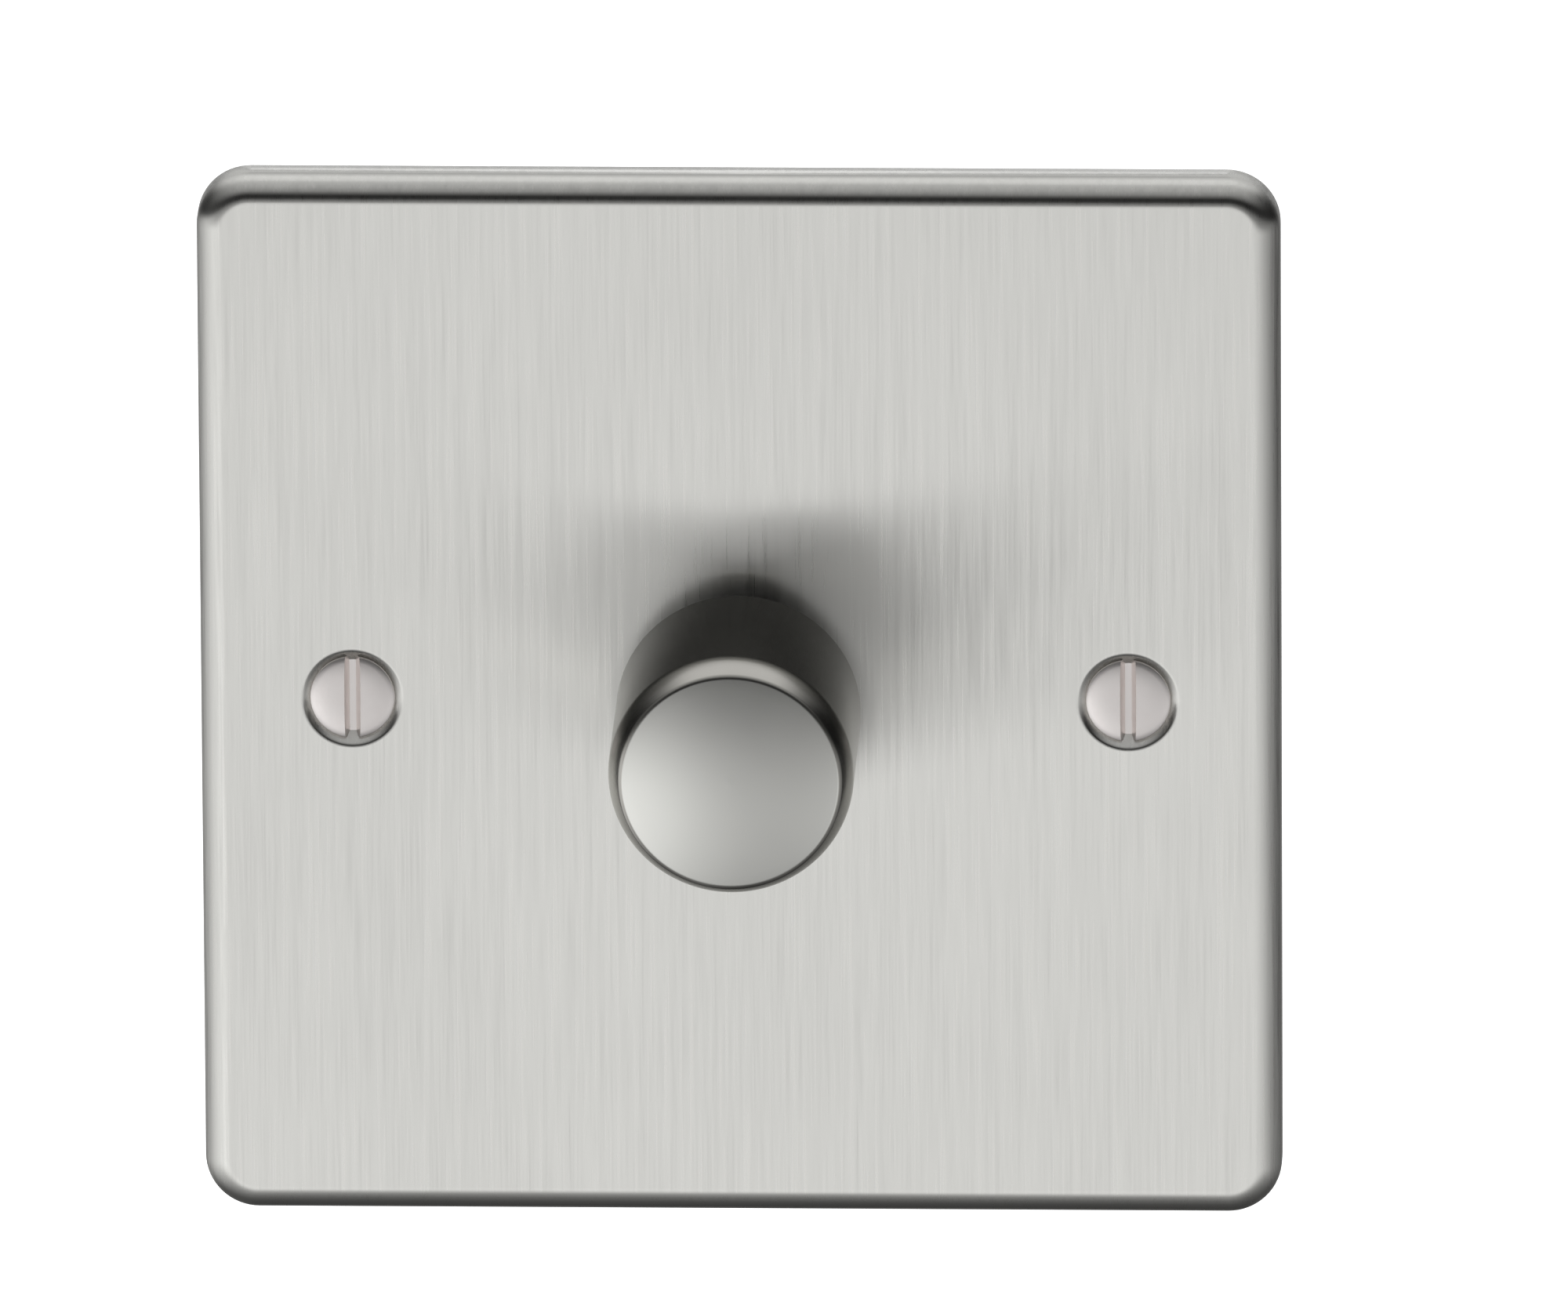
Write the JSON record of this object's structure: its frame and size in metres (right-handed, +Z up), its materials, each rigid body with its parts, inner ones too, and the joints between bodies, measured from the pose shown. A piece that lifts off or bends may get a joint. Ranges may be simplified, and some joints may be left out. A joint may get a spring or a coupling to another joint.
{
  "type": "dimmer switch",
  "caption": "Flush wall dimmer: square brushed steel plate with slotted fixing screws and a round push-on turn-to-dim knob, with its heat sink, module case and rising-clamp terminals behind.",
  "frame": {"origin": "centre of the plate, on the wall's surface where the plate's rim rests", "axes": "+Z up, +Y into the wall; the plate's front and the knob look along -Y, +X to the viewer's right"},
  "size_m": [0.084, 0.0486, 0.084],
  "materials": {
    "plate_steel": "vertical satin brushing",
    "knob_metal": "polished side, satin front",
    "nickel_screw": "bright nickel",
    "zinc_steel": "bright zinc",
    "aluminium_sheet": "mill finish",
    "brass": "plain",
    "black_moulding": "fine texture",
    "white_moulding": "natural nylon",
    "board_laminate": "bare laminate",
    "carbon_print": "printed carbon",
    "iron_powder": "painted ring core",
    "enamelled_copper": "enamelled",
    "component_black": "moulded",
    "film_box": "smooth",
    "component_beige": "lacquered",
    "fuse_ceramic": "glazed",
    "grey_pad": "soft",
    "spring_steel": "bright"
  },
  "bodies": {
    "base": {"faceplate": "plate_steel", "fixing_screw_left": "nickel_screw", "fixing_screw_right": "nickel_screw", "screw_retainer_left": "white_moulding", "screw_retainer_right": "white_moulding", "backing_frame": "black_moulding", "earth_block": "brass", "earth_screw": "zinc_steel", "heat_sink": "aluminium_sheet", "case_screw_left": "zinc_steel", "case_screw_right": "zinc_steel", "module_case": "black_moulding", "threaded_bush": "brass", "fixing_nut": "zinc_steel", "lock_washer": "spring_steel", "pot_housing": "zinc_steel", "track_disc": "board_laminate", "carbon_track": "carbon_print", "switch_housing": "black_moulding", "fixed_contacts": "brass", "return_spring": "spring_steel", "control_board": "board_laminate", "triac": "component_black", "triac_insulator": "grey_pad", "triac_screw": "zinc_steel", "fuse": "fuse_ceramic", "fuse_clips": "brass", "choke_core": "iron_powder", "choke_winding": "enamelled_copper", "film_capacitor": "film_box", "resistors": "component_beige", "diac": "component_beige", "terminal_1_housing": "black_moulding", "terminal_1_bar": "brass", "terminal_2_housing": "black_moulding", "terminal_2_bar": "brass", "terminal_3_housing": "black_moulding", "terminal_3_bar": "brass"},
    "rotor": {"wiper_rotor": "white_moulding", "wiper_contact": "brass"},
    "knob": {"knob_shell": "knob_metal", "knob_core": "black_moulding", "core_band": "spring_steel", "spindle": "zinc_steel", "spindle_clip": "spring_steel"},
    "plunger": {"switch_plunger": "white_moulding", "contact_bridge": "brass"},
    "screw_1": {"terminal_1_screw": "zinc_steel"},
    "clamp_1": {"terminal_1_clamp": "zinc_steel"},
    "screw_2": {"terminal_2_screw": "zinc_steel"},
    "clamp_2": {"terminal_2_clamp": "zinc_steel"},
    "screw_3": {"terminal_3_screw": "zinc_steel"},
    "clamp_3": {"terminal_3_clamp": "zinc_steel"}
  },
  "joints": [
    {"name": "knob_turn", "type": "hinge", "parent": "base", "child": "rotor", "pos_m": [0, 0, 0], "axis": [0, 1, 0], "range_deg": [-135, 135]},
    {"name": "knob_push", "type": "slide", "parent": "rotor", "child": "knob", "axis": [0, 1, 0], "range_m": [0, 0.0018], "stiffness_N_per_m": 2000, "springref_m": -0.001},
    {"name": "plunger_push", "type": "slide", "parent": "base", "child": "plunger", "axis": [0, 1, 0], "range_m": [0, 0.0018], "deforming": ["return_spring"]},
    {"name": "terminal_1_turn", "type": "hinge", "parent": "base", "child": "screw_1", "pos_m": [-0.0106, 0.02, -0.019], "axis": [0, -1, 0], "range_deg": [0, 1530]},
    {"name": "terminal_1_lift", "type": "slide", "parent": "base", "child": "clamp_1", "axis": [0, 1, 0], "range_m": [0, 0.0021]},
    {"name": "terminal_2_turn", "type": "hinge", "parent": "base", "child": "screw_2", "pos_m": [0, 0.02, -0.019], "axis": [0, -1, 0], "range_deg": [0, 1530]},
    {"name": "terminal_2_lift", "type": "slide", "parent": "base", "child": "clamp_2", "axis": [0, 1, 0], "range_m": [0, 0.0021]},
    {"name": "terminal_3_turn", "type": "hinge", "parent": "base", "child": "screw_3", "pos_m": [0.0106, 0.02, -0.019], "axis": [0, -1, 0], "range_deg": [0, 1530]},
    {"name": "terminal_3_lift", "type": "slide", "parent": "base", "child": "clamp_3", "axis": [0, 1, 0], "range_m": [0, 0.0021]}
  ],
  "couplings": [
    {"joint": "plunger_push", "follows": "knob_push", "ratio": 1},
    {"joint": "terminal_1_turn", "follows": "terminal_1_lift", "rad_per_m": 12566},
    {"joint": "terminal_2_turn", "follows": "terminal_2_lift", "rad_per_m": 12566},
    {"joint": "terminal_3_turn", "follows": "terminal_3_lift", "rad_per_m": 12566}
  ]
}
